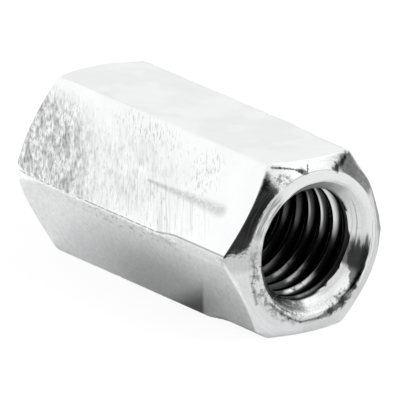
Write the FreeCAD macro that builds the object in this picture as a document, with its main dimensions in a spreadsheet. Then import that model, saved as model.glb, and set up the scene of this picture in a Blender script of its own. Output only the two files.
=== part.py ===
import FreeCAD, Part
import math
import os
import Sketcher

# Hex coupling nut: a length of hex bar, turned to a cone at both ends, drilled, countersunk and tapped right through.
# The bore's axis lies along X, the nut rests on one flat, and the origin is at the middle of that flat.

NODE = "coupling_nut"
SIDES = 6

# Driving dimensions, in millimetres and degrees
SIZES = {
    "across_flats": 16.0,
    "nut_length": 32.0,
    "corner_radius": 0.5,
    "end_face_diameter": 13.9,
    "chamfer_angle": 30.0,
    "thread_diameter": 12.0,
    "thread_pitch": 1.75,
    "countersink_clearance": 0.1,
    "countersink_angle": 82.0,
}

# The bore is the thread's minor diameter: its outer diameter less this many pitches
THREAD_DEPTH = 1.0825
BORE_DIAMETER = f"sizes.thread_diameter - {THREAD_DEPTH} * sizes.thread_pitch"


def add_sheet(doc):
    """The spreadsheet that holds the driving dimensions, each under its own name."""
    sheet = doc.addObject("Spreadsheet::Sheet", "sizes")
    for row, (name, value) in enumerate(SIZES.items(), start=1):
        sheet.set(f"A{row}", name)
        sheet.set(f"B{row}", str(value))
        sheet.setAlias(f"B{row}", name)
    doc.recompute()
    return sheet


def origin_feature(body, role):
    """One of the body's own origin planes or axes."""
    return next(feature for feature in body.Origin.OriginFeatures if feature.Role == role)


def add_sketch(body, name, role):
    """An empty sketch on one of the body's origin planes."""
    sketch = body.newObject("Sketcher::SketchObject", name)
    sketch.AttachmentSupport = [(origin_feature(body, role), "")]
    sketch.MapMode = "FlatFace"
    return sketch


def constrain(sketch, name, expression, *arguments):
    """A named dimension of the sketch, driven by the spreadsheet."""
    index = sketch.addConstraint(Sketcher.Constraint(*arguments))
    sketch.renameConstraint(index, name)
    sketch.setExpression(f"Constraints.{name}", expression)


def point(x, y):
    return FreeCAD.Vector(x, y, 0)


def add_hex_bar(body):
    """The bar: a regular hexagon with level flats above and below, padded both ways from its middle."""
    sketch = add_sketch(body, "hex_section", "YZ_Plane")
    radius = SIZES["across_flats"] / math.sqrt(3)
    turn = 2 * math.pi / SIDES
    corners = [point(radius * math.cos(turn * k), radius * math.sin(turn * k)) for k in range(SIDES)]
    sides = []
    for k in range(SIDES):
        line = Part.LineSegment(corners[k], corners[(k + 1) % SIDES])
        sides.append(sketch.addGeometry(line, False))
    circle = sketch.addGeometry(Part.Circle(point(0, 0), point(0, 0) + FreeCAD.Vector(0, 0, 1), radius), True)
    sketch.addConstraint(Sketcher.Constraint("Coincident", circle, 3, -1, 1))
    for k in range(SIDES):
        sketch.addConstraint(Sketcher.Constraint("Coincident", sides[k], 2, sides[(k + 1) % SIDES], 1))
        sketch.addConstraint(Sketcher.Constraint("PointOnObject", sides[k], 1, circle))
    for side in sides[1:]:
        sketch.addConstraint(Sketcher.Constraint("Equal", sides[0], side))
    sketch.addConstraint(Sketcher.Constraint("Horizontal", sides[1]))
    constrain(sketch, "corner_circle", "sizes.across_flats / cos(30)", "Diameter", circle, 2 * radius)

    bar = body.newObject("PartDesign::Pad", "hex_bar")
    bar.Profile = sketch
    bar.SideType = "Symmetric"
    bar.setExpression("Length", "sizes.nut_length")
    body.Document.recompute()
    return bar


def round_corners(body, bar):
    """The drawn bar's six long edges are slightly round."""
    along = [
        f"Edge{k}"
        for k, edge in enumerate(bar.Shape.Edges, start=1)
        if abs(edge.tangentAt(edge.FirstParameter).x) > math.cos(math.radians(1))
    ]
    rounding = body.newObject("PartDesign::Fillet", "bar_corners")
    rounding.Base = (bar, along)
    rounding.setExpression("Radius", "sizes.corner_radius")
    body.Document.recompute()
    return rounding


def add_end_cone(body):
    """The cone turned at the near end: it leaves a round end face and curved edges on the six flats."""
    sketch = add_sketch(body, "end_cone_profile", "XZ_Plane")
    end = SIZES["nut_length"] / 2
    inner = SIZES["end_face_diameter"] / 2
    outer = SIZES["across_flats"]
    depth = (outer - inner) * math.tan(math.radians(SIZES["chamfer_angle"]))
    corners = [point(end, inner), point(end, outer), point(end - depth, outer)]
    lines = []
    for k, corner in enumerate(corners):
        line = Part.LineSegment(corner, corners[(k + 1) % len(corners)])
        lines.append(sketch.addGeometry(line, False))
    for k, line in enumerate(lines):
        sketch.addConstraint(Sketcher.Constraint("Coincident", line, 2, lines[(k + 1) % len(lines)], 1))
    face, top, slope = lines
    sketch.addConstraint(Sketcher.Constraint("Vertical", face))
    sketch.addConstraint(Sketcher.Constraint("Horizontal", top))
    constrain(sketch, "end_place", "sizes.nut_length / 2", "DistanceX", -1, 1, face, 1, end)
    constrain(sketch, "face_radius", "sizes.end_face_diameter / 2", "DistanceY", -1, 1, face, 1, inner)
    constrain(sketch, "clear_radius", "sizes.across_flats", "DistanceY", -1, 1, face, 2, outer)
    constrain(
        sketch, "cone_depth", "(sizes.across_flats - sizes.end_face_diameter / 2) * tan(sizes.chamfer_angle)",
        "DistanceX", top, 2, top, 1, depth,
    )

    cone = body.newObject("PartDesign::Groove", "end_cone")
    cone.Profile = sketch
    cone.ReferenceAxis = (origin_feature(body, "X_Axis"), [""])
    cone.Angle = 360
    body.Document.recompute()
    return cone


def add_bore(body):
    """The tapping bore, drilled through from the near end with that end's countersink."""
    sketch = add_sketch(body, "bore_centre", "YZ_Plane")
    sketch.setExpression("AttachmentOffset.Base.z", "sizes.nut_length / 2")
    bore_radius = (SIZES["thread_diameter"] - THREAD_DEPTH * SIZES["thread_pitch"]) / 2
    circle = sketch.addGeometry(Part.Circle(point(0, 0), FreeCAD.Vector(0, 0, 1), bore_radius), False)
    sketch.addConstraint(Sketcher.Constraint("Coincident", circle, 3, -1, 1))
    constrain(sketch, "bore_diameter", BORE_DIAMETER, "Diameter", circle, 2 * bore_radius)
    body.Document.recompute()

    bore = body.newObject("PartDesign::Hole", "tapping_bore")
    bore.Profile = sketch
    bore.ThreadType = "None"
    bore.DepthType = "ThroughAll"
    bore.HoleCutType = "Countersink"
    bore.setExpression("Diameter", BORE_DIAMETER)
    bore.setExpression("HoleCutDiameter", "sizes.thread_diameter + sizes.countersink_clearance")
    bore.setExpression("HoleCutCountersinkAngle", "sizes.countersink_angle")
    body.Document.recompute()
    return bore


def mirror_ends(body, *features):
    """The far end is turned and countersunk as the near end is."""
    mirror = body.newObject("PartDesign::Mirrored", "far_end")
    mirror.Originals = list(features)
    mirror.MirrorPlane = (origin_feature(body, "YZ_Plane"), [""])
    body.Tip = mirror
    body.Document.recompute()
    return mirror


def build_nut(doc):
    """The whole nut, raised so that its lower flat lies at the origin's height."""
    body = doc.addObject("PartDesign::Body", NODE)
    body.Label = NODE
    bar = add_hex_bar(body)
    round_corners(body, bar)
    cone = add_end_cone(body)
    bore = add_bore(body)
    mirror_ends(body, cone, bore)
    body.setExpression("Placement.Base.z", "sizes.across_flats / 2")
    doc.recompute()
    return body


def check(doc, parts):
    """Stops if any feature failed, or if a finished part isn't one sound solid."""
    failed = [item.Name for item in doc.Objects if {"Invalid", "Error"} & set(item.State)]
    if failed:
        raise RuntimeError(f"these features failed: {', '.join(failed)}")
    for part in parts:
        shape = part.Shape
        if shape.isNull() or not shape.isValid() or len(shape.Solids) != 1:
            raise RuntimeError(f"{part.Label} isn't one valid solid")


def main():
    doc = FreeCAD.newDocument("hex_coupling_nut")
    add_sheet(doc)
    nut = build_nut(doc)
    check(doc, [nut])
    os.makedirs("parts", exist_ok=True)
    nut.Shape.exportStep(f"parts/{nut.Label}.step")
    box = nut.Shape.optimalBoundingBox()
    print(f"{nut.Label}: {nut.Shape.Volume:.2f} cubic mm, {box.XLength:.3f} x {box.YLength:.3f} x {box.ZLength:.3f} mm")


main()
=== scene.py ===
import math

import bmesh
import bpy
import numpy as np
from mathutils import Matrix, Vector


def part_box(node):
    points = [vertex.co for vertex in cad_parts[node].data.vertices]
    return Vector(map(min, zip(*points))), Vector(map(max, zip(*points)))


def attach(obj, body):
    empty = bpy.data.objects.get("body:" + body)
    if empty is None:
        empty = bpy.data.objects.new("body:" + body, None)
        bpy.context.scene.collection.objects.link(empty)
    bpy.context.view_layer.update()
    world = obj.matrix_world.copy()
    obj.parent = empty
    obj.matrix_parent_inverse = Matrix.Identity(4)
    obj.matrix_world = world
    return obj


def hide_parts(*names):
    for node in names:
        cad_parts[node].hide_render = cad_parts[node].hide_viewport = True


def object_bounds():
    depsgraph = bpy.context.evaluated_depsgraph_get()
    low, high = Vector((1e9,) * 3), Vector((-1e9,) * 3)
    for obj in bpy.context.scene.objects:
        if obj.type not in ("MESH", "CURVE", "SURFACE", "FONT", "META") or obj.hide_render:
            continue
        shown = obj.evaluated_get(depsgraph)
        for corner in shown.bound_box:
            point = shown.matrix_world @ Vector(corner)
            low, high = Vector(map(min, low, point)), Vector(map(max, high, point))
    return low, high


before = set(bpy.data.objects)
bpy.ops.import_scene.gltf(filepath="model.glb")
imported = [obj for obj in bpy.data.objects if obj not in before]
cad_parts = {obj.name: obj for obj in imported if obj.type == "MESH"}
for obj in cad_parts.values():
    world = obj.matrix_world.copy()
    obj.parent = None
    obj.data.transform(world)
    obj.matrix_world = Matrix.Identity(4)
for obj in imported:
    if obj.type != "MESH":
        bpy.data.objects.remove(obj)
CAD_LOW, CAD_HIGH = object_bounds()

# A hex coupling nut of bright zinc-plated steel, worn and stained, lying on white paper in a pale studio
NODE = "coupling_nut"
MM = 0.001

# Sizes of the nut, in millimetres: the outer ones from the frame, the rest as in the part's source.
# The corner radius is a hair larger than there, so that the mesh stays inside the solid
LOW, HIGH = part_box(NODE)
HALF_LENGTH = (HIGH.x - LOW.x) / 2 / MM
FLAT_RADIUS = (HIGH.z - LOW.z) / 2 / MM
CORNER_RADIUS = 0.51
FACE_RADIUS = 13.9 / 2
CONE_SLOPE = math.tan(math.radians(30))
THREAD_RADIUS = 12.0 / 2
THREAD_PITCH = 1.75
THREAD_HEIGHT = 1.0825 / 2 * THREAD_PITCH
BORE_RADIUS = THREAD_RADIUS - THREAD_HEIGHT
COUNTERSINK_RADIUS = THREAD_RADIUS + 0.1 / 2
COUNTERSINK_SLOPE = math.tan(math.radians(82 / 2))
AXIS_HEIGHT = FLAT_RADIUS
SIDES = 6

# Angles round the axis run from +Y towards +Z, in degrees
SIDE_TURN = 360 / SIDES
TOP_FLAT = 90
FRONT_FLAT = 150
LOWER_FLAT = 210
FRONT_EDGE = 180

# Wear on the turned edges, as fillet radii: light all round, heavy about a few corners.
# Each knock is an angle, its reach to each side and the radius that it adds or takes away
FACE_WEAR = 0.3
FACE_KNOCKS = [(185, 65, 2.6), (0, 45, 1.1)]
FLAT_EDGE_WEAR = 0.2
NEAR_KNOCKS = [(5, 36, 2.4), (0, 12, 1.1), (54, 18, 1.2), (200, 40, 0.5)]
FAR_KNOCKS = [(240, 50, 1.5), (57, 30, 0.9), (95, 30, -0.18)]

# The near edge of the lower flat is ragged by a share of its wear.
# Each wave is its count round the nut, its height and its phase
EDGE_RAGGED = 0.18
EDGE_WAVES = [(17, 1.0, 0.0), (29, 0.7, 1.0), (41, 0.5, 2.0)]

# The near countersink sits off centre, and its lip is ragged and worn round, most on the side it leans to
LIP_OFFSET = 0.34
LIP_DIRECTION = -25
LIP_WEAR = 0.62
LIP_WEAR_SWING = 0.38
LIP_RAGGED = 0.02
LIP_WAVES = [(7, 1.0, 1.0), (13, 0.8, 2.3), (23, 0.6, 0.0)]
FAR_LIP_WEAR = 0.38
MOUTH_DEPTH = 0.5

# The thread: shares of one pitch, turns to spare beyond each mouth, and how far in and how steeply it starts
CREST_WIDTH = 0.25
ROOT_WIDTH = 0.125
CREST_ROUND = 0.08
CREST_PLACES = [0.0, 0.08, 0.115, 0.14, 0.18, 0.25, 0.34]
THREAD_PHASE = -0.07
SPARE_TURNS = 2
THREAD_START = 1.5
RUN_IN_SLOPE = 2.0

# Facets worn along the edges: direction, distance from the axis, and where along X each fades in and out.
# A facet lifts off its edge as it fades, and reaches to each side as far as this cosine
FACETS = [
    (195, 8.673, (5.5, 8.3), (14.6, 16.0)),
    (240, 8.8, (7.0, 9.8), (20.0, 21.0)),
    (60, 8.96, (0.0, 13.0), (20.0, 21.0)),
    (192, 8.54, (-21.0, -20.0), (-16.5, -11.5)),
    (118, 8.98, (-21.0, -20.0), (-16.0, -11.0)),
]
FACET_LIFT = 0.4
FACET_REACH = 0.9

# Nicks in the long edges: place along X, angle, half length and depth
NICKS = [
    (-14.8, 180.5, 0.5, 0.1),
    (-13.5, 179.0, 0.35, 0.07),
    (-12.3, 180.0, 0.55, 0.09),
    (-10.9, 181.0, 0.4, 0.08),
    (-9.4, 179.5, 0.6, 0.1),
    (-7.9, 180.5, 0.35, 0.06),
    (-6.0, 180.0, 0.45, 0.07),
    (-3.1, 180.5, 0.3, 0.05),
    (0.8, 179.5, 0.35, 0.05),
    (4.2, 180.5, 0.3, 0.06),
    (-11.6, 120.5, 0.4, 0.06),
    (-4.4, 119.5, 0.35, 0.05),
    (2.9, 120.0, 0.5, 0.05),
    (8.3, 120.5, 0.3, 0.05),
    (-8.2, 0.5, 0.5, 0.08),
    (3.4, 60.0, 0.4, 0.06),
    (5.5, 300.5, 0.5, 0.08),
    (-5.2, 240.0, 0.4, 0.07),
]
NICK_REACH = 2.6

# How finely the mesh is divided: round the nut, along its profile and over each fillet
FLAT_STEPS = 26
CORNER_STEPS = 8
MOUTH_STEPS = 1
FACE_STEPS = 3
CONE_STEPS = 6
LENGTH_STEPS = 120
FILLET_STEPS = 5

# Points this near, in metres, become one, edges this short go, and edges over this angle stay sharp
MERGE_DISTANCE = 1e-7
SMALLEST_EDGE = 1e-8
SHARP_ANGLE = math.radians(40)


def corner_half_angle():
    """Half the angle that one rounded corner takes, seen from the axis."""
    along = (FLAT_RADIUS - CORNER_RADIUS) * math.tan(math.pi / SIDES)
    return math.pi / SIDES - math.atan2(along, FLAT_RADIUS)


def column_angles():
    """Angles round the axis: close together over the corners, wider over the flats."""
    half = corner_half_angle()
    side = 2 * math.pi / SIDES
    spread = (1 - np.cos(np.linspace(0, math.pi, FLAT_STEPS, endpoint=False))) / 2
    even = np.linspace(0, 1, FLAT_STEPS, endpoint=False)
    places = (spread + even) / 2
    angles = []
    for k in range(SIDES):
        start = k * side
        angles.extend(start + np.linspace(-half, half, CORNER_STEPS, endpoint=False))
        angles.extend(start + half + (side - 2 * half) * places)
    return np.array(angles)


def hexagon_radius(angles):
    """Distance from the axis to the rounded hexagon."""
    side = 2 * math.pi / SIDES
    from_corner = (angles + side / 2) % side - side / 2
    from_flat = angles % side - side / 2
    flat = FLAT_RADIUS / np.cos(from_flat)
    centre = (FLAT_RADIUS - CORNER_RADIUS) / math.cos(side / 2)
    inside = np.maximum(CORNER_RADIUS**2 - (centre * np.sin(from_corner)) ** 2, 0)
    rounded = centre * np.cos(from_corner) + np.sqrt(inside)
    return np.where(np.abs(from_corner) < corner_half_angle(), rounded, flat)


def waves(angles, rows):
    """A ragged line round the nut: a sum of sines, each with its count, height and phase."""
    return sum(height * np.sin(count * angles + phase) for count, height, phase in rows)


def lip(angles):
    """Radius of the near countersink's rim, and how round its lip is worn."""
    lean = np.cos(angles - math.radians(LIP_DIRECTION))
    rim = COUNTERSINK_RADIUS + LIP_OFFSET * lean + LIP_RAGGED * waves(angles, LIP_WAVES)
    return rim, LIP_WEAR + LIP_WEAR_SWING * lean


def rounded_profile(points, wear, steps):
    """Rows of a profile in the (x, radius) plane, one value per column, with its inner corners rounded off.

    points are the corners, wear the fillet radius at each inner one, steps the spans of each straight run.
    """
    rows = [points[0]]
    start = points[0]
    for k in range(1, len(points) - 1):
        into = points[k] - points[k - 1]
        into = into / np.linalg.norm(into, axis=0)
        out = points[k + 1] - points[k]
        out = out / np.linalg.norm(out, axis=0)
        turn = np.arctan2(into[0] * out[1] - into[1] * out[0], np.sum(into * out, axis=0))
        setback = wear[k - 1] * np.tan(np.abs(turn) / 2)
        first = points[k] - into * setback
        last = points[k] + out * setback
        rows.extend(start + (first - start) * t for t in np.linspace(0, 1, steps[k - 1] + 1)[1:])
        centre = first + np.sign(turn) * np.array([-into[1], into[0]]) * wear[k - 1]
        spoke = first - centre
        for t in np.linspace(0, 1, FILLET_STEPS + 1)[1:-1]:
            c, s = np.cos(turn * t), np.sin(turn * t)
            rows.append(centre + np.array([c * spoke[0] - s * spoke[1], s * spoke[0] + c * spoke[1]]))
        rows.append(last)
        start = last
    rows.extend(start + (points[-1] - start) * t for t in np.linspace(0, 1, steps[-1] + 1)[1:])
    return rows


def end_profile(angles, rim):
    """Corners of one end's profile, from inside the countersink out to the flats."""
    ones = np.ones_like(angles)
    hexagon = hexagon_radius(angles)
    edge = HALF_LENGTH - (hexagon - FACE_RADIUS) * CONE_SLOPE
    return [
        np.array([(HALF_LENGTH - MOUTH_DEPTH) * ones, rim - MOUTH_DEPTH * COUNTERSINK_SLOPE]),
        np.array([HALF_LENGTH * ones, rim]),
        np.array([HALF_LENGTH * ones, FACE_RADIUS * ones]),
        np.array([edge, hexagon]),
    ]


def smooth(share):
    """A share from 0 to 1, eased at both ends."""
    share = np.clip(share, 0, 1)
    return share * share * (3 - 2 * share)


def turned_from(angles, centre):
    """Angle between each column and this direction, in degrees."""
    return np.abs((np.degrees(angles) - centre + 180) % 360 - 180)


def knocked(angles, wear, knocks):
    """Fillet radius round one turned edge: the even wear, and more about each knock."""
    wear = np.full_like(angles, wear)
    for centre, reach, added in knocks:
        wear += added * smooth(1 - turned_from(angles, centre) / reach)
    return wear


def facet_radius(x, angles):
    """Distance from the axis to the nearest worn facet: a facet rises clear of its edge at its ends."""
    nearest = np.full_like(angles, np.inf)
    for direction, distance, (start, full), (fading, end) in FACETS:
        cut = smooth((x - start) / (full - start)) * smooth((end - x) / (end - fading))
        across = np.cos(angles - math.radians(direction))
        plane = (distance + FACET_LIFT * (1 - cut)) / np.maximum(across, FACET_REACH)
        nearest = np.minimum(nearest, np.where(across > FACET_REACH, plane, np.inf))
    return nearest


def nick_depth(x, angles):
    """How deep the nicks are at each column."""
    depth = np.zeros_like(angles)
    for place, angle, half, deepest in NICKS:
        along = smooth(1 - np.abs(x - place) / half)
        depth += deepest * along * smooth(1 - turned_from(angles, angle) / NICK_REACH)
    return depth


def outer_rows(angles):
    """The outside of the nut, from just inside the near countersink to just inside the far one."""
    rim, wear = lip(angles)
    near = end_profile(angles, rim)
    far = end_profile(angles, COUNTERSINK_RADIUS * np.ones_like(angles))
    far = [np.array([-p[0], p[1]]) for p in reversed(far)]
    near_face = knocked(angles, FACE_WEAR, FACE_KNOCKS)
    ragged = waves(angles, EDGE_WAVES) * smooth(1 - turned_from(angles, LOWER_FLAT) / SIDE_TURN)
    near_edge = knocked(angles, FLAT_EDGE_WEAR, NEAR_KNOCKS) * (1 + EDGE_RAGGED * ragged)
    far_edge = knocked(angles, FLAT_EDGE_WEAR, FAR_KNOCKS)
    wears = [wear, near_face, near_edge, far_edge, FACE_WEAR, FAR_LIP_WEAR]
    end_steps = [MOUTH_STEPS, FACE_STEPS, CONE_STEPS]
    rows = rounded_profile(near + far, wears, end_steps + [LENGTH_STEPS] + end_steps[::-1])
    worn = []
    for x, radius in rows:
        radius = np.minimum(radius, facet_radius(x, angles))
        worn.append(np.array([x, radius - nick_depth(x, angles)]))
    return worn


def thread_profile():
    """One pitch of the thread: places along it, from the middle of a crest, and the radius at each."""
    crest, root = CREST_WIDTH / 2, 0.5 - ROOT_WIDTH / 2
    half = CREST_PLACES + [root]
    places = np.array([-p for p in half[:0:-1]] + half + [0.5])
    share = (np.abs(places) - crest) / (root - crest)
    rounded = np.minimum((share + np.sqrt(share**2 + CREST_ROUND**2)) / 2, 1)
    return places, BORE_RADIUS + rounded * (THREAD_RADIUS - BORE_RADIUS)


def bore_rows(angles):
    """The threaded bore: rows follow the helix, and the countersinks cut them off at both mouths."""
    places, radii = thread_profile()
    end = HALF_LENGTH - MOUTH_DEPTH
    turns = math.ceil(HALF_LENGTH / THREAD_PITCH) + SPARE_TURNS
    lead = THREAD_PITCH * angles / (2 * math.pi)
    near_rim, _ = lip(angles)
    rows = []
    for turn in range(turns, -turns, -1):
        for place, radius in zip(places[::-1], radii[::-1]):
            x = np.clip((turn + place + THREAD_PHASE) * THREAD_PITCH + lead, -end, end)
            rim = np.where(x > 0, near_rim, COUNTERSINK_RADIUS)
            depth = HALF_LENGTH - np.abs(x)
            cone = rim - depth * COUNTERSINK_SLOPE
            run_in = rim - THREAD_START * COUNTERSINK_SLOPE + (depth - THREAD_START) * RUN_IN_SLOPE
            cut = np.minimum(radius, np.maximum(run_in, BORE_RADIUS))
            rows.append(np.array([x, np.maximum(cone, cut)]))
    return rows


def add_rows(mesh, rows, angles, shift):
    """Quads over a grid of rows, closed round the axis: the last column meets the first, shift rows on."""
    grid = []
    for x, radius in rows:
        points = zip(x, radius * np.cos(angles), radius * np.sin(angles) + AXIS_HEIGHT)
        grid.append([mesh.verts.new(Vector(p) * MM) for p in points])
    for j in range(len(rows) - 1):
        for i in range(len(angles)):
            k = (i + 1) % len(angles)
            step = shift if k == 0 else 0
            if j + step + 1 < len(rows) and j + step >= 0:
                mesh.faces.new((grid[j][i], grid[j + 1][i], grid[j + 1 + step][k], grid[j + step][k]))


def build_nut():
    """The nut's mesh: the worn outside and the threaded bore, joined at the mouths."""
    angles = column_angles()
    mesh = bmesh.new()
    add_rows(mesh, outer_rows(angles), angles, 0)
    places, _ = thread_profile()
    add_rows(mesh, bore_rows(angles), angles, -len(places))
    bmesh.ops.remove_doubles(mesh, verts=mesh.verts, dist=MERGE_DISTANCE)
    bmesh.ops.dissolve_degenerate(mesh, edges=mesh.edges, dist=SMALLEST_EDGE)
    bmesh.ops.recalc_face_normals(mesh, faces=mesh.faces)
    data = bpy.data.meshes.new("nut_body")
    mesh.to_mesh(data)
    mesh.free()
    data.shade_smooth()
    data.set_sharp_from_angle(angle=SHARP_ANGLE)
    nut = bpy.data.objects.new("nut_body", data)
    bpy.context.scene.collection.objects.link(nut)
    return nut


# The level that a noise has on average
NOISE_MIDDLE = 0.5


class Shade:
    """Short calls for building one node tree. Each returns a socket, which can feed the next call."""

    def __init__(self, tree):
        self.tree = tree

    def add(self, kind, inputs, output=0, **settings):
        node = self.tree.nodes.new("ShaderNode" + kind)
        for name, value in settings.items():
            setattr(node, name, value)
        for key, value in inputs.items():
            if isinstance(value, bpy.types.NodeSocket):
                self.tree.links.new(value, node.inputs[key])
            else:
                node.inputs[key].default_value = value
        return node.outputs[output]

    def math(self, operation, *values):
        return self.add("Math", dict(enumerate(values)), operation=operation)

    def product(self, *values):
        result = values[0]
        for value in values[1:]:
            result = self.math("MULTIPLY", result, value)
        return result

    def step(self, value, low, high):
        """0 at low and 1 at high, smooth between. low may be the greater."""
        limits = {"Value": value, "From Min": low, "From Max": high}
        return self.add("MapRange", limits, interpolation_type="SMOOTHSTEP")

    def band(self, value, low, high, soft):
        """1 between low and high, falling to 0 over soft each side."""
        rise = self.step(value, low - soft, low + soft)
        return self.product(rise, self.step(value, high + soft, high - soft))

    def blend(self, factor, a, b):
        """From number a to number b."""
        return self.add("Mix", {0: factor, 2: a, 3: b}, data_type="FLOAT")

    def blend_colours(self, factor, a, b):
        """From colour a to colour b."""
        return self.add("Mix", {0: factor, 6: a, 7: b}, output=2, data_type="RGBA")

    def rising(self, mask, base, added):
        """The base value, and the added one on top of it where the mask is 1."""
        return self.math("MULTIPLY_ADD", mask, added, base)

    def darken(self, tone, mask, amount):
        """The tone less this share of it where the mask is 1."""
        return self.math("MULTIPLY", tone, self.math("MULTIPLY_ADD", mask, -amount, 1.0))

    def ragged(self, value, noise, amount):
        """The value, moved up and down by a noise."""
        return self.math("MULTIPLY_ADD", self.math("SUBTRACT", noise, NOISE_MIDDLE), amount, value)

    def vector(self, x, y, z=0.0):
        return self.add("CombineXYZ", {0: x, 1: y, 2: z})

    def split(self, vector):
        """The three parts of a vector."""
        return [self.add("SeparateXYZ", {0: vector}, output=axis) for axis in "XYZ"]

    def noise(self, vector, scale, detail=2.0, roughness=0.5):
        values = {"Vector": vector, "Scale": scale, "Detail": detail, "Roughness": roughness}
        return self.add("TexNoise", values)


# Noises over the whole nut: scale to one millimetre, detail and roughness.
# The brushed one changes with the radius, and only by this share round the axis
COARSE_NOISE = (0.7, 3.0, 0.55)
FINE_NOISE = (2.6, 3.0, 0.6)
GRAIN_NOISE = (6.0, 3.0, 0.65)
BRUSHED_NOISE = (7.0, 3.0, 0.6)
BRUSHED_ROUND = 0.35

# Where the flats begin, as heights over the axis, and how soft the border between two of them is, in degrees
FLAT_HEIGHTS = (FLAT_RADIUS - 0.25, FLAT_RADIUS - 0.04)
SIDE_SOFT = 0.5


class Place:
    """Where a point lies on the nut, in millimetres and degrees, as sockets of one node tree."""

    def __init__(self, shade):
        self.shade = shade
        position = shade.add("TexCoord", {}, output="Object")
        position = shade.add("VectorMath", {0: position, "Scale": 1 / MM}, operation="SCALE")
        self.position = position
        self.x, self.y, above_paper = shade.split(position)
        self.z = shade.math("SUBTRACT", above_paper, AXIS_HEIGHT)
        squares = shade.math("MULTIPLY_ADD", self.y, self.y, shade.math("MULTIPLY", self.z, self.z))
        self.radius = shade.math("SQRT", squares)
        turn = shade.math("DEGREES", shade.math("ARCTAN2", self.z, self.y))
        self.angle = shade.math("FLOORED_MODULO", turn, 360.0)
        self.depth = shade.math("SUBTRACT", HALF_LENGTH, shade.math("ABSOLUTE", self.x))
        along_side = shade.math("FLOORED_MODULO", self.angle, SIDE_TURN)
        turn = shade.math("RADIANS", shade.math("SUBTRACT", along_side, SIDE_TURN / 2))
        height = shade.math("MULTIPLY", shade.math("COSINE", turn), self.radius)
        self.across = shade.math("MULTIPLY", shade.math("TANGENT", turn), FLAT_RADIUS)
        self.flat = shade.step(height, *FLAT_HEIGHTS)
        self.coarse = shade.noise(position, *COARSE_NOISE)
        self.fine = shade.noise(position, *FINE_NOISE)
        self.grain = shade.noise(position, *GRAIN_NOISE)
        round_y = shade.math("MULTIPLY", shade.math("DIVIDE", self.y, self.radius), BRUSHED_ROUND)
        round_z = shade.math("MULTIPLY", shade.math("DIVIDE", self.z, self.radius), BRUSHED_ROUND)
        self.brushed = shade.noise(shade.vector(self.radius, round_y, round_z), *BRUSHED_NOISE)

    def on_side(self, centre):
        """1 on the flat whose middle is at this angle."""
        turned = self.shade.band(self.angle, centre - SIDE_TURN / 2, centre + SIDE_TURN / 2, SIDE_SOFT)
        return self.shade.product(turned, self.flat)

    def patch(self, u, v, at, half, soft, ragged=0.0, grain=None):
        """An oval mark round one place, with a soft or ragged edge."""
        shade = self.shade
        du = shade.math("DIVIDE", shade.math("SUBTRACT", u, at[0]), half[0])
        dv = shade.math("DIVIDE", shade.math("SUBTRACT", v, at[1]), half[1])
        reach = shade.math("SQRT", shade.math("MULTIPLY_ADD", du, du, shade.math("MULTIPLY", dv, dv)))
        if grain is not None:
            reach = shade.ragged(reach, grain, ragged)
        return shade.step(reach, 1 + soft, 1 - soft)

    def on_flat(self, *mark):
        """A patch placed along X and across its flat."""
        return self.patch(self.x, self.across, *mark)

    def stroke(self, u, v, ends, half, soft, ragged, grain):
        """A mark along a line from one place to another, with its half width at each end."""
        shade = self.shade
        (u0, v0), (u1, v1) = ends
        run = (u1 - u0, v1 - v0)
        square = run[0] ** 2 + run[1] ** 2
        du, dv = shade.math("SUBTRACT", u, u0), shade.math("SUBTRACT", v, v0)
        along = shade.math("MULTIPLY_ADD", du, run[0] / square, shade.math("MULTIPLY", dv, run[1] / square))
        along = shade.math("MINIMUM", shade.math("MAXIMUM", along, 0.0), 1.0)
        du = shade.math("MULTIPLY_ADD", along, -run[0], du)
        dv = shade.math("MULTIPLY_ADD", along, -run[1], dv)
        reach = shade.math("SQRT", shade.math("MULTIPLY_ADD", du, du, shade.math("MULTIPLY", dv, dv)))
        width = shade.math("MULTIPLY_ADD", along, half[1] - half[0], half[0])
        reach = shade.math("DIVIDE", reach, width)
        reach = shade.ragged(reach, grain, ragged)
        return shade.step(reach, 1 + soft, 1 - soft)

    def sector(self, centre, half):
        """1 near this angle round the axis, falling to 0 at the given half width."""
        shade = self.shade
        away = shade.math("FLOORED_MODULO", shade.math("SUBTRACT", self.angle, centre - 180.0), 360.0)
        away = shade.math("ABSOLUTE", shade.math("SUBTRACT", away, 180.0))
        return shade.step(away, half, half / 2)


ZINC_LIGHT = (0.9, 0.905, 0.91, 1)
ZINC_DARK = (0.012, 0.012, 0.013, 1)
WHITE = (1, 1, 1, 1)

# How the marks below are given, where nothing else is said. Two numbers are limits: a mark is absent at the
# first and full at the second. Three numbers are a band and its softness. A sector is an angle and a half
# width, and a patch is its middle, half lengths and softness. DARK is the share of light lost

# Front flat: strokes that lean from straight across it. Each row is a region, the width, length and detail
# of a stroke in it, the limits of the noise, and how dark it is. The strokes are the plate's fine marks, and
# their dark is partly painted reflection of the dark parts of the studio
STROKE_LEAN = math.radians(35)
STROKE_ROUGHNESS = 0.6
STROKES = [
    ("far third", 0.22, 0.62, 3.0, (0.38, 0.68), 0.54),
    ("far third", 0.75, 2.2, 2.0, (0.4, 0.64), 0.36),
    ("ticked", 0.18, 0.95, 1.0, (0.65, 0.74), 0.28),
    ("combed", 0.25, 4.4, 1.0, (0.53, 0.66), 0.2),
    ("veiled", 1.1, 3.1, 3.0, (0.35, 0.65), 0.13),
    ("veiled", 0.3, 1.1, 3.0, (0.45, 0.68), 0.21),
    ("dripped", 0.22, 0.9, 2.0, (0.5, 0.66), 0.3),
]
FAR_THIRD_ACROSS = (-4.4, -1.0)
FAR_THIRD_ASIDE = (-3.9, -9.0)
TICKED_ACROSS = (-4.1, -2.9)
TICKED_X = (12.0, 8.8)
COMBED = ((4.6, 2.6), (6.2, 2.1), 0.4)
VEILED = ((-1.7, 0.9), (7.2, 3.6), 0.6)
DRIPPED = [((-1.2, -3.3), (4.2, 1.1), 0.5), ((8.2, -1.9), (1.7, 2.0), 0.5)]

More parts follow.
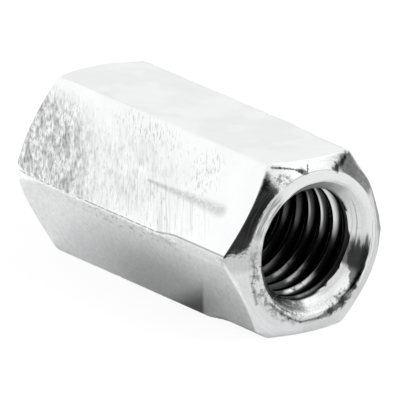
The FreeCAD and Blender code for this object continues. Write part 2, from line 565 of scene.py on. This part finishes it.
# The scuff on the front flat: its two ends, its half width at each, its soft and ragged edge, and its noise
SCUFF = ((1.8, 0.76), (12.1, 0.7))
SCUFF_HALF = (0.1, 0.5)
SCUFF_EDGE = (0.95, 0.4)
SCUFF_NOISE = (0.1, 0.6)
SCUFF_DARK = 0.34


def front_flat_marks(shade, place, tone):
    """Short grey strokes, dense on the far third, with a few ticks, long scratches and one scuff."""
    front = place.on_side(FRONT_FLAT)
    cos, sin = math.cos(STROKE_LEAN), math.sin(STROKE_LEAN)
    along = shade.math("MULTIPLY_ADD", place.x, sin, shade.math("MULTIPLY", place.across, cos))
    aside = shade.math("MULTIPLY_ADD", place.x, cos, shade.math("MULTIPLY", place.across, -sin))
    far_third = shade.step(place.across, *FAR_THIRD_ACROSS)
    far_third = shade.product(far_third, shade.step(aside, *FAR_THIRD_ASIDE))
    regions = {
        "far third": far_third,
        "ticked": shade.product(shade.step(place.across, *TICKED_ACROSS), shade.step(place.x, *TICKED_X)),
        "combed": place.on_flat(*COMBED),
        "veiled": place.on_flat(*VEILED),
        "dripped": shade.math("MAXIMUM", *[place.on_flat(*patch) for patch in DRIPPED]),
    }
    # The plate's fine marks, darkened partly as painted reflection
    for region, width, length, detail, limits, dark in STROKES:
        vector = shade.vector(shade.math("DIVIDE", aside, width), shade.math("DIVIDE", along, length))
        strokes = shade.step(shade.noise(vector, 1.0, detail, STROKE_ROUGHNESS), *limits)
        tone = shade.darken(tone, shade.product(strokes, regions[region], front), dark)
    scuff = place.stroke(place.x, place.across, SCUFF, SCUFF_HALF, *SCUFF_EDGE, place.fine)
    return shade.darken(tone, shade.product(scuff, front, shade.step(place.fine, *SCUFF_NOISE)), SCUFF_DARK)


# Lower flat: a grey patch, with how ragged it is, and a painted dark reflection between a soft upper line and
# a sharp end
GREY_PATCH = ((3.2, 2.4), (9.0, 4.2), 0.75, 0.3)
GREY_PATCH_DARK = 0.43
PAINTED_REFLECTION_LINE = ((1.2, 4.9), (8.7, 0.3))
PAINTED_REFLECTION_LINE_SOFT = (-0.5, 1.9)
PAINTED_REFLECTION_END = ((9.2, 0.9), (7.3, 4.2))
PAINTED_REFLECTION_END_SOFT = (-0.12, 0.3)
PAINTED_REFLECTION_DARK = 0.83

# Lower flat: faint mottling all over, and specks and a mottled strip under the front edge
MOTTLE_NOISE = (0.35, 0.7)
MOTTLE_DARK = 0.14
SPECKS_ACROSS = (-2.4, -4.1)
SPECKS_X = (9.5, 5.0)
SPECKS_NOISE = (0.55, 0.68)
SPECKS_DARK = 0.5
STRIP = ((0.6, -3.9), (6.3, 1.0), 0.5)
STRIP_NOISE = (0.52, 0.68)
STRIP_DARK = 0.42


def beside(shade, place, line):
    """Distance to one side of a line on a flat from its first place to its second, in millimetres."""
    (u0, v0), (u1, v1) = line
    length = math.hypot(u1 - u0, v1 - v0)
    normal = ((v0 - v1) / length, (u1 - u0) / length)
    offset = -(u0 * normal[0] + v0 * normal[1])
    across = shade.math("MULTIPLY_ADD", place.across, normal[1], offset)
    return shade.math("MULTIPLY_ADD", place.x, normal[0], across)


def lower_flat_marks(shade, place, tone):
    """A grey patch, a painted dark reflection, and the mottled strip under the front edge."""
    lower = place.on_side(LOWER_FLAT)
    grey_patch = place.on_flat(*GREY_PATCH, place.coarse)
    tone = shade.darken(tone, shade.product(grey_patch, lower), GREY_PATCH_DARK)
    # Painted reflection: a dark patch under a soft upper line and before a sharp end
    under = shade.step(beside(shade, place, PAINTED_REFLECTION_LINE), *PAINTED_REFLECTION_LINE_SOFT)
    before = shade.step(beside(shade, place, PAINTED_REFLECTION_END), *PAINTED_REFLECTION_END_SOFT)
    tone = shade.darken(tone, shade.product(under, before, lower), PAINTED_REFLECTION_DARK)
    tone = shade.darken(tone, shade.product(lower, shade.step(place.fine, *MOTTLE_NOISE)), MOTTLE_DARK)
    specks = shade.product(shade.step(place.across, *SPECKS_ACROSS), shade.step(place.x, *SPECKS_X))
    specks = shade.product(lower, specks, shade.step(place.grain, *SPECKS_NOISE))
    tone = shade.darken(tone, specks, SPECKS_DARK)
    strip = place.on_flat(*STRIP)
    return shade.darken(tone, shade.product(strip, lower, shade.step(place.fine, *STRIP_NOISE)), STRIP_DARK)


# Top flat: a large noise (scale, detail, roughness) with its limits, and where the near end pales
PALE_NOISE = (0.22, 2.0, 0.5)
PALE_LIMITS = (0.46, 0.6)
PALE_END_X = (11.0, 14.0)
TOP_GREY_DARK = 0.05


def top_flat_marks(shade, place, tone):
    """Faint pale clouds, and a paler strip towards the near end."""
    clouds = shade.step(shade.noise(place.position, *PALE_NOISE), *PALE_LIMITS)
    pale = shade.math("MAXIMUM", clouds, shade.step(place.x, *PALE_END_X))
    grey = shade.math("SUBTRACT", 1.0, pale)
    return shade.darken(tone, shade.product(grey, place.on_side(TOP_FLAT)), TOP_GREY_DARK)


# Front edge: where its worn facet sets in, where its marks end, and its dark line and facet in degrees.
# The line moves aside where the facet is
EDGE_WORN_X = (5.0, 8.3)
EDGE_END_X = (15.1, 14.6)
EDGE_RADII = (8.45, 8.6)
EDGE_LINE_ANGLE = FRONT_EDGE + 0.2
EDGE_LINE_MOVE = -2.1
EDGE_LINE = (-0.5, 0.5, 0.4)
EDGE_LINE_NOISE = (0.62, 0.45)
EDGE_LINE_DARK = 0.62
EDGE_FACET = (0.9, 6.5, 1.0)
EDGE_FACET_NOISE = (0.2, 0.65)
EDGE_FACET_DARK = 0.34


def edge_marks(shade, place, tone):
    """A dark line along the front edge, broken and then whole, beside the grey, mottled facet worn on it."""
    worn = shade.step(place.x, *EDGE_WORN_X)
    aside = shade.math("SUBTRACT", place.angle, shade.rising(worn, EDGE_LINE_ANGLE, EDGE_LINE_MOVE))
    ends = shade.product(shade.step(place.x, *EDGE_END_X), shade.step(place.radius, *EDGE_RADII))
    broken = shade.math("MAXIMUM", shade.step(place.fine, *EDGE_LINE_NOISE), worn)
    tone = shade.darken(tone, shade.product(shade.band(aside, *EDGE_LINE), broken, ends), EDGE_LINE_DARK)
    facet = shade.product(shade.band(aside, *EDGE_FACET), worn, ends)
    facet = shade.product(facet, shade.step(place.grain, *EDGE_FACET_NOISE))
    return shade.darken(tone, facet, EDGE_FACET_DARK)


# Near end: where its marks begin along X and outwards
NEAR_END_X = (14.1, 14.4)
NEAR_END_RADII = (5.5, 5.8)

# Scratches and dents on the near end, and one painted reflection: how dark, then a line of points,
# each radius, angle and half width
SCRATCHES_AND_PAINTED_REFLECTION = [
    # The first line is painted reflection: it carries the dark band mirrored on the cone further up
    (0.6, [(8.5, 124.0, 0.26), (8.22, 128.0, 0.36), (8.0, 130.0, 0.3)]),
    (
        0.8,
        [(8.7, 118.6, 0.12), (8.33, 114.7, 0.09), (7.95, 110.4, 0.07), (7.6, 105.9, 0.09), (7.3, 102.5, 0.2)],
    ),
    (0.8, [(7.3, 102.5, 0.24), (7.05, 100.0, 0.2)]),
    (0.8, [(7.55, 96.2, 0.07), (6.98, 98.2, 0.08)]),
    (0.8, [(7.1, 74.5, 0.16), (7.25, 71.5, 0.3), (7.83, 66.0, 0.24), (8.3, 63.5, 0.13), (8.85, 63.5, 0.1)]),
    (0.5, [(6.5, 187, 0.08), (6.62, 193, 0.13), (6.95, 199, 0.08), (7.0, 206, 0.12), (7.25, 216, 0.13)]),
    (0.65, [(6.3, 226, 0.1), (6.36, 240, 0.16), (6.5, 250, 0.12), (6.73, 261, 0.1)]),
    (0.7, [(6.73, 261, 0.08), (6.68, 278, 0.12), (6.64, 290, 0.34)]),
    (0.8, [(6.64, 290, 0.36), (6.62, 303, 0.46), (6.5, 318, 0.26), (6.35, 328, 0.2)]),
]
SCRATCH_SOFT = 0.6
WIDE_SCRATCH = 0.2
WIDE_RAGGED = 3.0
THIN_RAGGED = 5.0

# Shades round the near end: angle and half width, limits of radius, a noise with its limits, and how dark
END_SHADES = [
    (218, 60, (7.3, 6.6), "fine", (0.46, 0.62), 0.58),
    # Painted shade: the next two rows dim the lower left of the end and its front corner, where they mirror
    # the paper
    (205, 55, None, None, None, 0.05),
    (179, 13, None, None, None, 0.22),
    (283, 24, None, "grain", (0.3, 0.6), 0.16),
    (146, 24, None, "brushed", (0.35, 0.6), 0.66),
    (52, 26, (7.0, 7.2), "fine", (0.4, 0.65), 0.3),
]

# A grazed patch on the near end, placed along Y and up from the axis, and the dark line round the flat ring
GRAZED = ((-3.55, 6.65), (0.8, 0.55), 0.5)
GRAZED_NOISE = (0.46, 0.62)
GRAZED_DARK = 0.6
RING_LINE = (FACE_RADIUS - 0.02, FACE_RADIUS + 0.04, 0.05)
RING_SECTOR = (65, 110)
RING_NOISE = (0.25, 0.55)
RING_DARK = 0.5


def scratch_and_reflection_marks(shade, place, tone, near):
    """The broken lines of the near end: wide ones have a coarse edge, thin ones a fine one."""
    for dark, points in SCRATCHES_AND_PAINTED_REFLECTION:
        places = [(r * math.cos(math.radians(a)), r * math.sin(math.radians(a))) for r, a, _ in points]
        widths = [width for _, _, width in points]
        for ends, half in zip(zip(places, places[1:]), zip(widths, widths[1:])):
            edge = (WIDE_RAGGED, place.fine) if max(half) > WIDE_SCRATCH else (THIN_RAGGED, place.grain)
            line = place.stroke(place.y, place.z, ends, half, SCRATCH_SOFT, *edge)
            tone = shade.darken(tone, shade.product(line, near), dark)
    return tone


def end_marks(shade, place, tone):
    """Scratches, dents and pits on the near end, painted shade and a painted reflection, and the dark line
    round its flat ring.
    """
    near = shade.product(shade.step(place.x, *NEAR_END_X), shade.step(place.radius, *NEAR_END_RADII))
    near = shade.darken(near, place.flat, 1.0)
    tone = scratch_and_reflection_marks(shade, place, tone, near)
    for angle, half, radii, noise, limits, dark in END_SHADES:
        mark = shade.product(place.sector(angle, half), near)
        if radii:
            mark = shade.product(mark, shade.step(place.radius, *radii))
        if noise:
            mark = shade.product(mark, shade.step(getattr(place, noise), *limits))
        tone = shade.darken(tone, mark, dark)
    grazed = place.patch(place.y, place.z, *GRAZED)
    tone = shade.darken(tone, shade.product(grazed, near, shade.step(place.fine, *GRAZED_NOISE)), GRAZED_DARK)
    ring = shade.product(shade.band(place.radius, *RING_LINE), near)
    ring = shade.product(ring, place.sector(*RING_SECTOR), shade.step(place.coarse, *RING_NOISE))
    return shade.darken(tone, ring, RING_DARK)


# Near countersink: its limits along X and outwards. A turn is an angle counted from straight down
MOUTH_X = (14.0, 14.2)
MOUTH_RADII = (6.55, 6.4)
DOWN = -90.0

# A painted reflection on its right, the dark crescent where it mirrors the opening: the turns where it starts
# and ends, how far its hairs reach, and its ragged edge.
# The depth that it goes to grows with each degree of turn, up to its widest
PAINTED_CRESCENT_TOP = (88.0, 80.0)
PAINTED_CRESCENT_BOTTOM = (30.0, 40.0)
PAINTED_CRESCENT_HAIRS = 50.0
PAINTED_CRESCENT_WIDEST = 66.0
PAINTED_CRESCENT_GROWTH = 0.05
PAINTED_CRESCENT_DEPTH = -2.05
PAINTED_CRESCENT_RAGGED = 0.5
PAINTED_CRESCENT_EDGE = (-0.08, 0.08)
PAINTED_CRESCENT_DARK = 0.75

# A grey strip further in, and the stain at the lower left
INNER_STRIP_TURNS = (22, 56, 8)
INNER_STRIP_DEPTHS = (0.75, 1.15)
INNER_STRIP_DARK = 0.24
LEFT_STAIN_ANGLES = (212, 268, 6)
LEFT_STAIN_DEPTHS = (0.1, 0.5)
LEFT_STAIN_NOISE = (0.68, 0.5)
LEFT_STAIN_DARK = 0.65

# Thin dark arcs in it: radius straight down, its growth with each degree of turn, and how dark
DARK_ARCS = [(5.19, 0.0038, 0.5), (4.71, 0.0058, 0.22)]
DARK_ARC_BAND = (-0.03, 0.03, 0.03)
DARK_ARC_TURNS = (74, 124, 8)


def mouth_marks(shade, place, tone):
    """A painted dark reflection on the right of the near countersink, a stain at its lower left, and thin
    dark arcs in it.
    """
    near = shade.product(shade.step(place.x, *MOUTH_X), shade.step(place.radius, *MOUTH_RADII))
    turn = shade.math("FLOORED_MODULO", shade.math("SUBTRACT", place.angle, DOWN), 360.0)
    # The painted reflection: a dark crescent on the right of the countersink
    hairs = shade.ragged(turn, place.brushed, PAINTED_CRESCENT_HAIRS)
    ends = shade.product(shade.step(hairs, *PAINTED_CRESCENT_TOP), shade.step(turn, *PAINTED_CRESCENT_BOTTOM))
    reach = shade.rising(shade.math("MINIMUM", turn, PAINTED_CRESCENT_WIDEST), PAINTED_CRESCENT_DEPTH, PAINTED_CRESCENT_GROWTH)
    ragged = shade.ragged(reach, place.fine, PAINTED_CRESCENT_RAGGED)
    within = shade.step(shade.math("SUBTRACT", ragged, place.depth), *PAINTED_CRESCENT_EDGE)
    tone = shade.darken(tone, shade.product(near, ends, within), PAINTED_CRESCENT_DARK)
    strip = shade.step(place.depth, *INNER_STRIP_DEPTHS)
    strip = shade.product(shade.band(turn, *INNER_STRIP_TURNS), strip)
    tone = shade.darken(tone, shade.product(near, strip), INNER_STRIP_DARK)
    for start, growth, dark in DARK_ARCS:
        off_line = shade.math("MULTIPLY_ADD", turn, -growth, shade.math("SUBTRACT", place.radius, start))
        line = shade.product(shade.band(off_line, *DARK_ARC_BAND), shade.band(turn, *DARK_ARC_TURNS))
        tone = shade.darken(tone, shade.product(near, line), dark)
    left = shade.step(place.depth, *LEFT_STAIN_DEPTHS)
    left = shade.product(shade.band(place.angle, *LEFT_STAIN_ANGLES), left)
    left = shade.product(near, left, shade.step(place.fine, *LEFT_STAIN_NOISE))
    return shade.darken(tone, left, LEFT_STAIN_DARK)


# Where the thread is: inside the mouths, clear of the countersinks' cones. Only the near cone is off centre
NEAR_HALF_X = (-1.0, 1.0)
THREAD_CLEAR = (0.06, 0.14)
THREAD_RADII = (6.6, 6.5)
THREAD_DEPTHS = (0.35, 0.6)


def thread_mask(shade, place):
    """1 inside the mouths, on the thread: the bare cones of the countersinks are left out."""
    lean = shade.math("COSINE", shade.math("RADIANS", shade.math("SUBTRACT", place.angle, LIP_DIRECTION)))
    near = shade.step(place.x, *NEAR_HALF_X)
    rim = shade.math("MULTIPLY_ADD", shade.math("MULTIPLY", lean, near), LIP_OFFSET, COUNTERSINK_RADIUS)
    cone = shade.math("MULTIPLY_ADD", place.depth, -COUNTERSINK_SLOPE, rim)
    above = shade.step(shade.math("SUBTRACT", place.radius, cone), *THREAD_CLEAR)
    above = shade.product(above, shade.step(place.radius, *THREAD_RADII))
    return shade.product(above, shade.step(place.depth, *THREAD_DEPTHS))


# In the thread, rise is the distance outwards from the crests, and depth is that from the nearer end.
# The dark tone, partly oil and partly painted shade in the bore: its tone, what the crests add to it from
# where the thread is whole, and how much darker it is painted below
CREST_FADE_RISE = (0.5, 0.1)
OIL_AND_SHADE_TONE = 0.04
OIL_AND_SHADE_CREST_TONE = 0.06
SHADE_BELOW_SECTOR = (285, 70)
SHADE_BELOW_DARK = 0.5
WHOLE_DEPTHS = (2.0, 2.5)

# Painted highlights on the crests on the right: the rise where the bright edge ends, which is more on the
# first crest
CREST_SECTOR = (42, 60)
CREST_DEPTHS = (10.0, 4.5)
CREST_RISE = 0.27
CREST_FULL_RISE = 0.12
FIRST_CREST_RISE = 0.36
FIRST_CREST_DEPTHS = (4.8, 3.6)
CREST_LIGHT = 0.8
FLANK_LIGHT = 0.2

# Painted highlights on the flanks below: a long spot on the first turn, and shorter, duller ones on the
# deeper turns
SPOT_RISE = (0.08, 0.36, 0.12)
SPOT_NOISE = (0.25, 0.52)
FIRST_SPOT_SECTOR = (291, 24)
FIRST_SPOT_DEPTHS = (5.1, 4.7)
FIRST_SPOT_LIGHT = 0.85
DEEP_SPOT_SECTOR = (302, 18)
DEEP_SPOT_DEPTHS = (4.7, 5.1)
DEEP_SPOT_FADE = (11.0, 5.0)
DEEP_SPOT_LIGHT = 0.5


def thread_tone(shade, place):
    """A dark thread, partly oil and partly painted shade, with painted highlights on its crests on the right
    and its flanks below, less inwards.
    """
    rise = shade.math("SUBTRACT", place.radius, BORE_RADIUS)
    fading = shade.step(rise, *CREST_FADE_RISE)
    widest = shade.rising(shade.step(place.depth, *FIRST_CREST_DEPTHS), CREST_RISE, FIRST_CREST_RISE)
    edge = shade.product(shade.step(rise, widest, CREST_FULL_RISE), CREST_LIGHT)
    edge = shade.math("MULTIPLY_ADD", fading, FLANK_LIGHT, edge)
    right = shade.product(place.sector(*CREST_SECTOR), edge, shade.step(place.depth, *CREST_DEPTHS))
    spots = shade.product(shade.band(rise, *SPOT_RISE), shade.step(place.fine, *SPOT_NOISE))
    first = shade.product(place.sector(*FIRST_SPOT_SECTOR), shade.step(place.depth, *FIRST_SPOT_DEPTHS))
    first = shade.product(first, FIRST_SPOT_LIGHT)
    deeper = shade.product(place.sector(*DEEP_SPOT_SECTOR), shade.step(place.depth, *DEEP_SPOT_DEPTHS))
    deeper = shade.product(deeper, shade.step(place.depth, *DEEP_SPOT_FADE), DEEP_SPOT_LIGHT)
    below = shade.product(shade.math("MAXIMUM", first, deeper), spots)
    whole = shade.step(place.depth, *WHOLE_DEPTHS)
    # Painted highlights on the crests on the right and the flanks below
    painted_highlights = shade.product(shade.math("MAXIMUM", right, below), whole)
    # The dark tone: partly oil, partly painted shade in the bore
    oil_and_shade = shade.rising(shade.product(fading, whole), OIL_AND_SHADE_TONE, OIL_AND_SHADE_CREST_TONE)
    # Painted shade: darker below
    oil_and_shade = shade.darken(oil_and_shade, place.sector(*SHADE_BELOW_SECTOR), SHADE_BELOW_DARK)
    return shade.math("MAXIMUM", painted_highlights, oil_and_shade)


# The plate's tone: slow clouds by scale, detail and roughness, and brushing and grain on the turned ends
CLOUD_NOISE = (0.28, 3.0, 0.55)
PLATE_TONE = 0.93
CLOUD_TONE = 0.1
BRUSHING = (0.35, 0.7)
BRUSHING_DARK = 0.08
GRAIN = (0.45, 0.75)
GRAIN_DARK = 0.12

# Roughness of each surface, with what its own noise or place adds to it
END_ROUGHNESS = (0.085, 0.05)
END_STREAKS = (0.45, 0.7)
FLAT_ROUGHNESS = (0.15, 0.12)
MOUTH_ROUGHNESS = (0.24, 0.16)
MOUTH_ROUGH_SECTOR = (75, 50)
THREAD_ROUGHNESS = (0.2, 0.25)
THREAD_ROUGH_DEPTHS = (2.6, 2.0)
ROUGH_MOUTH_DEPTHS = (0.03, 0.25)
ROUGH_MOUTH_RADII = (6.65, 6.55)

# Heights of the bump, in millimetres: brushing, pits round the near end, and slow swells over the outside
BRUSHED_HEIGHT = 0.0018
PIT_HEIGHT = 0.016
PIT_SECTOR = (200, 95)
SWELL_HEIGHT = 0.008
SWELL_RADII = (6.5, 6.6)


def plate_roughness(shade, place, thread, clouds):
    """Smooth, streaked ends, cloudy flats, a rougher mouth and an oiled thread."""
    ends = shade.rising(shade.step(place.brushed, *END_STREAKS), *END_ROUGHNESS)
    outer = shade.blend(place.flat, ends, shade.rising(clouds, *FLAT_ROUGHNESS))
    turned = shade.rising(place.sector(*MOUTH_ROUGH_SECTOR), *MOUTH_ROUGHNESS)
    tapped = shade.rising(shade.step(place.depth, *THREAD_ROUGH_DEPTHS), *THREAD_ROUGHNESS)
    mouth = shade.step(place.depth, *ROUGH_MOUTH_DEPTHS)
    mouth = shade.product(mouth, shade.step(place.radius, *ROUGH_MOUTH_RADII))
    return shade.blend(mouth, outer, shade.blend(thread, turned, tapped))


def plate_bump(shade, place, bare):
    """Fine brushing and pits where the plate is neither flat nor threaded, and slow swells outside."""
    pitted = shade.product(place.sector(*PIT_SECTOR), shade.step(place.x, *NEAR_END_X), bare)
    height = shade.product(bare, place.brushed, BRUSHED_HEIGHT)
    height = shade.math("MULTIPLY_ADD", shade.product(pitted, place.fine), PIT_HEIGHT, height)
    outside = shade.step(place.radius, *SWELL_RADII)
    height = shade.math("MULTIPLY_ADD", shade.product(outside, place.coarse), SWELL_HEIGHT, height)
    return shade.add("Bump", {"Height": height, "Distance": MM, "Strength": 1.0})


def zinc_material():
    """Bright zinc plate: stroked and speckled flats, brushed ends, scuffs, stains, painted shade and
    reflections, and a thread painted dark for its oil and for shade, with painted highlights.
    """
    material = bpy.data.materials.new("zinc_plate")
    material.use_nodes = True
    shade = Shade(material.node_tree)
    place = Place(shade)
    shader = material.node_tree.nodes["Principled BSDF"]
    shader.inputs["Metallic"].default_value = 1.0
    links = material.node_tree.links

    thread = thread_mask(shade, place)
    bare = shade.math("SUBTRACT", 1.0, shade.math("MAXIMUM", place.flat, thread))
    clouds = shade.noise(place.position, *CLOUD_NOISE)
    tone = shade.rising(clouds, PLATE_TONE, CLOUD_TONE)
    for add_marks in (front_flat_marks, lower_flat_marks, top_flat_marks, edge_marks, end_marks):
        tone = add_marks(shade, place, tone)
    tone = shade.darken(tone, shade.product(bare, shade.step(place.brushed, *BRUSHING)), BRUSHING_DARK)
    tone = shade.darken(tone, shade.product(bare, shade.step(place.grain, *GRAIN)), GRAIN_DARK)
    tone = mouth_marks(shade, place, tone)
    tone = shade.blend(thread, tone, thread_tone(shade, place))
    colour = shade.blend_colours(tone, ZINC_DARK, ZINC_LIGHT)
    links.new(colour, shader.inputs["Base Color"])
    links.new(shade.blend_colours(thread, WHITE, colour), shader.inputs["Specular Tint"])
    links.new(plate_roughness(shade, place, thread, clouds), shader.inputs["Roughness"])
    links.new(plate_bump(shade, place, bare), shader.inputs["Normal"])
    return material


# The camera: long lens, at the photograph's angle to the nut
CAMERA_AZIMUTH = 51.31
CAMERA_ELEVATION = 17.84
CAMERA_ROLL = 2.61
LENS = 1200.0
CLIP_START = 0.05
CLIP_END = 10
FRAME_WIDTH_MM = 35.048
LOOK_RIGHT_MM = -0.008
LOOK_UP_MM = -0.169

# The paper, in metres: its size, how far in front of the nut's middle it ends, and how little it lies below.
# Its colour is for the light that it gives back
FLOOR_SIZE = 1.2
FLOOR_FRONT = 0.048
FLOOR_DROP = 0.00002
FLOOR_COLOUR = (0.85, 0.85, 0.85, 1)

# The paper as the camera sees it: this much white of its own, and the rest lit, which keeps the shadow
FLOOR_GLOW = 0.91
FLOOR_LIT = (0.1, 0.1, 0.1, 1)

# The paper as the nut mirrors it: pale, and shaded in turn to each tone over limits of X and of Y, in metres
FLOOR_PALE = 0.97
FLOOR_SHADES = [
    (0.66, (0.003, 0.024), None),
    (0.56, (0.03, 0.022), (0.003, 0.011)),
    (0.3, (0.012, 0.002), (0.008, 0.016)),
    (0.25, None, (0.06, 0.35)),
]


def mirrored_floor(shade):
    """How pale the paper shows, place by place, in the nut's reflections: painted shade on the paper."""
    x, y, _ = shade.split(shade.add("NewGeometry", {}, output="Position"))
    tone = FLOOR_PALE
    for shaded, *limits in FLOOR_SHADES:
        steps = [shade.step(value, *pair) for value, pair in zip((x, y), limits) if pair]
        tone = shade.blend(shade.product(*steps), tone, shaded)
    return tone


def floor_material():
    """White paper: plain for the light it gives, shaded in reflections, and white to the camera."""
    material = bpy.data.materials.new("pale_floor")
    material.use_nodes = True
    material.node_tree.nodes.clear()
    shade = Shade(material.node_tree)
    camera = shade.add("LightPath", {}, output="Is Camera Ray")
    glossy = shade.add("LightPath", {}, output="Is Glossy Ray")
    through = shade.add("LightPath", {}, output="Is Transmission Ray")
    plain = shade.add("BsdfDiffuse", {"Color": FLOOR_COLOUR})
    mirror = shade.add("BsdfDiffuse", {"Color": mirrored_floor(shade)})
    mirrored = shade.add("MixShader", {0: shade.math("MAXIMUM", glossy, through), 1: plain, 2: mirror})
    lit = shade.add("BsdfDiffuse", {"Color": FLOOR_LIT})
    white = shade.add("AddShader", {0: lit, 1: shade.add("Emission", {"Strength": FLOOR_GLOW})})
    seen = shade.add("MixShader", {0: camera, 1: mirrored, 2: white})
    output = material.node_tree.nodes.new("ShaderNodeOutputMaterial")
    material.node_tree.links.new(seen, output.inputs[0])
    return material


def add_floor():
    """A sheet of white paper: it ends a little way in front of the nut, and keeps the nut's shadow."""
    towards = math.radians(CAMERA_AZIMUTH - 90)
    front = Vector((math.cos(towards), math.sin(towards), 0))
    bpy.ops.mesh.primitive_plane_add(size=FLOOR_SIZE, rotation=(0, 0, towards))
    floor = bpy.context.object
    floor.location = front * (FLOOR_FRONT - FLOOR_SIZE / 2) + Vector((0, 0, -FLOOR_DROP))
    floor.name = "floor"
    floor.data.materials.append(floor_material())


# The studio: white all round and whitest on the left, with a softbox, a grey side and the dark opening where
# the camera stands. Azimuths and elevations are in degrees
WHITE_WALL = 1.04
LEFT_GAIN = 0.1
OPENING = 0.04
OPENING_AZIMUTHS = (-64, 6, 3)
OPENING_TOP = (31, 27)
GREY_SIDE = 0.22
GREY_SIDE_LOW = 0.33
GREY_AZIMUTHS = (63, 105, 2)
GREY_ELEVATIONS = (-5, 20, 2)
GREY_FADE = (13, 3)
SOFTBOX = 1.25
SOFTBOX_AZIMUTHS = (18, 78, 6)
SOFTBOX_ELEVATIONS = (25, 62, 5)


def add_world():
    """The studio's walls, which light the nut and show in it. The camera itself sees white."""
    world = bpy.data.worlds.new("studio")
    bpy.context.scene.world = world
    world.use_nodes = True
    shade = Shade(world.node_tree)
    x, y, z = shade.split(shade.add("TexCoord", {}, output="Generated"))
    azimuth = shade.math("DEGREES", shade.math("ARCTAN2", y, x))
    elevation = shade.math("DEGREES", shade.math("ARCSINE", z))
    opening = shade.product(shade.band(azimuth, *OPENING_AZIMUTHS), shade.step(elevation, *OPENING_TOP))
    grey = shade.product(shade.band(azimuth, *GREY_AZIMUTHS), shade.band(elevation, *GREY_ELEVATIONS))
    softbox = shade.band(elevation, *SOFTBOX_ELEVATIONS)
    softbox = shade.product(shade.band(azimuth, *SOFTBOX_AZIMUTHS), softbox)
    wall = shade.math("MULTIPLY_ADD", y, -LEFT_GAIN, WHITE_WALL)
    wall = shade.blend(softbox, wall, SOFTBOX)
    side = shade.blend(shade.step(elevation, *GREY_FADE), GREY_SIDE, GREY_SIDE_LOW)
    level = shade.blend(opening, shade.blend(grey, wall, side), OPENING)
    camera = shade.add("LightPath", {}, output="Is Camera Ray")
    background = world.node_tree.nodes["Background"]
    background.inputs["Color"].default_value = WHITE
    world.node_tree.links.new(shade.blend(camera, level, 1.0), background.inputs["Strength"])


# The key lamp lights the paper from the right, so that the nut's shadow falls to the left
KEY_AZIMUTH = 40
KEY_ELEVATION = 50
KEY_DISTANCE = 0.6
KEY_SIZE = 0.3
KEY_POWER = 1.8


def add_key():
    """A round, soft lamp, aimed at the nut and not mirrored in it."""
    data = bpy.data.lights.new("key", "AREA")
    data.shape = "DISK"
    data.size = KEY_SIZE
    data.energy = KEY_POWER
    key = bpy.data.objects.new("key", data)
    bpy.context.scene.collection.objects.link(key)
    a, e = math.radians(KEY_AZIMUTH), math.radians(KEY_ELEVATION)
    away = Vector((math.cos(a) * math.cos(e), math.sin(a) * math.cos(e), math.sin(e)))
    turn = (-away).to_track_quat("-Z", "Y").to_matrix().to_4x4()
    key.matrix_world = Matrix.Translation(away * KEY_DISTANCE) @ turn
    key.visible_glossy = False


def add_camera():
    """The camera, far back along its angle, with the nut's middle near the middle of its frame."""
    data = bpy.data.cameras.new("camera")
    data.lens = LENS
    data.clip_start = CLIP_START
    data.clip_end = CLIP_END
    camera = bpy.data.objects.new("camera", data)
    bpy.context.scene.collection.objects.link(camera)
    a, e = math.radians(CAMERA_AZIMUTH), math.radians(CAMERA_ELEVATION)
    back = Vector((math.sin(a) * math.cos(e), -math.cos(a) * math.cos(e), math.sin(e)))
    turn = (-back).to_track_quat("-Z", "Y").to_matrix() @ Matrix.Rotation(math.radians(CAMERA_ROLL), 3, "Z")
    middle = (CAD_LOW + CAD_HIGH) / 2
    target = middle + turn @ Vector((LOOK_RIGHT_MM, LOOK_UP_MM, 0)) * MM
    distance = FRAME_WIDTH_MM * MM * LENS / data.sensor_width
    camera.matrix_world = Matrix.Translation(target + back * distance) @ turn.to_4x4()
    bpy.context.scene.camera = camera


bpy.context.scene.view_settings.view_transform = "Standard"
nut = build_nut()
nut.data.materials.append(zinc_material())
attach(nut, "root")
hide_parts(NODE)
add_floor()
add_world()
add_key()
add_camera()
